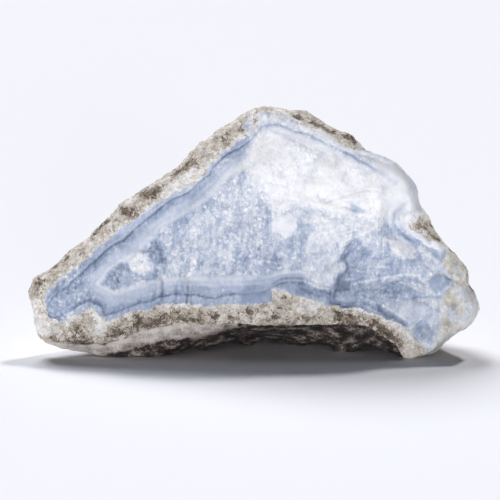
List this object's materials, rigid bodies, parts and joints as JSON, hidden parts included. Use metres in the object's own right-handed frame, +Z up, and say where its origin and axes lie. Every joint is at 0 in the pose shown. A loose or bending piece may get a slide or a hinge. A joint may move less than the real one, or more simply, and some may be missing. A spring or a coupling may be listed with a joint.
{
  "type": "blue chalcedony specimen",
  "caption": "Broken fragment of a banded blue chalcedony nodule with a gritty rind, wedge-shaped, standing on the small flat feet of its hollow underside.",
  "frame": {"origin": "middle of the bounding box's bottom face, on the surface that the stone stands on", "axes": "+X along the broken face to the right end, +Z up, and the broken face looks along -Y"},
  "size_m": [0.091, 0.041, 0.0502],
  "materials": {
    "stone": "pale blue banded chalcedony on the broken face, gritty beige-brown rind round it and on the back, dark weathered underside"
  },
  "bodies": {
    "root": {"stone": "stone"}
  },
  "joints": []
}
